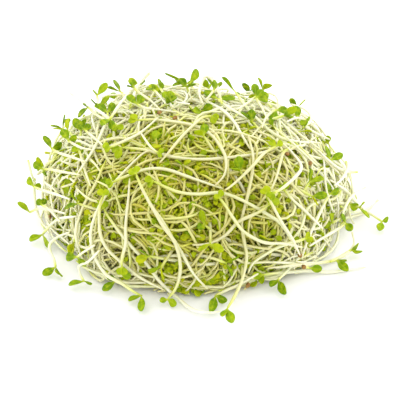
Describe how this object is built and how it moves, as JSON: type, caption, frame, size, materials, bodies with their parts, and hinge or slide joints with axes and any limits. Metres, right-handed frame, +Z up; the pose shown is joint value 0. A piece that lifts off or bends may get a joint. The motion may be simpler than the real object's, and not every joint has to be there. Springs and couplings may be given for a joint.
{
  "type": "heap of alfalfa sprouts",
  "caption": "Loose tangled heap of fresh alfalfa sprouts: long pale curved stems, small paired seed leaves and a few brown seed coats, lying on a flat underside.",
  "frame": {"origin": "middle of the flat underside that the heap rests on", "axes": "+Z up out of the heap; +X to the right along its longest side, seen from the front; -Y towards the front"},
  "size_m": [0.1412, 0.1323, 0.0507],
  "materials": {
    "sprout_stem": "moist, waxy, slightly translucent plant stem, creamy white to pale yellow-green",
    "cotyledon": "smooth, soft-sheened fresh green seed leaf with a faint midrib",
    "seed_coat": "thin dry brown seed husk"
  },
  "bodies": {
    "root": {"tangle": "sprout_stem", "sprout_01": "sprout_stem", "sprout_02": "sprout_stem", "sprout_03": "sprout_stem", "sprout_04": "sprout_stem", "sprout_05": "sprout_stem", "sprout_06": "sprout_stem", "sprout_07": "sprout_stem", "sprout_08": "sprout_stem", "sprout_09": "sprout_stem", "sprout_10": "sprout_stem", "sprout_11": "sprout_stem", "sprout_12": "sprout_stem", "sprout_13": "sprout_stem", "sprout_14": "sprout_stem", "sprout_15": "sprout_stem", "sprout_16": "sprout_stem", "sprout_17": "sprout_stem", "sprout_18": "sprout_stem", "sprout_19": "sprout_stem", "sprout_20": "sprout_stem", "sprout_21": "sprout_stem", "sprout_22": "sprout_stem", "sprout_23": "sprout_stem", "sprout_24": "sprout_stem", "sprout_25": "sprout_stem", "sprout_26": "sprout_stem", "sprout_27": "sprout_stem", "sprout_28": "sprout_stem", "sprout_29": "sprout_stem", "sprout_30": "sprout_stem", "sprout_31": "sprout_stem", "sprout_32": "sprout_stem", "sprout_33": "sprout_stem", "sprout_34": "sprout_stem", "sprout_35": "sprout_stem", "sprout_36": "sprout_stem", "sprout_37": "sprout_stem", "sprout_38": "sprout_stem", "sprout_39": "sprout_stem", "sprout_40": "sprout_stem", "sprout_41": "sprout_stem", "sprout_42": "sprout_stem", "sprout_43": "sprout_stem", "sprout_44": "sprout_stem", "sprout_45": "sprout_stem", "sprout_46": "sprout_stem", "sprout_47": "sprout_stem", "sprout_48": "sprout_stem", "sprout_49": "sprout_stem", "sprout_50": "sprout_stem", "seed_coat_01": "seed_coat", "seed_coat_02": "seed_coat", "seed_coat_03": "seed_coat", "seed_coat_04": "seed_coat", "seed_coat_05": "seed_coat", "seed_coat_06": "seed_coat", "seed_coat_07": "seed_coat", "seed_coat_08": "seed_coat"}
  },
  "joints": []
}
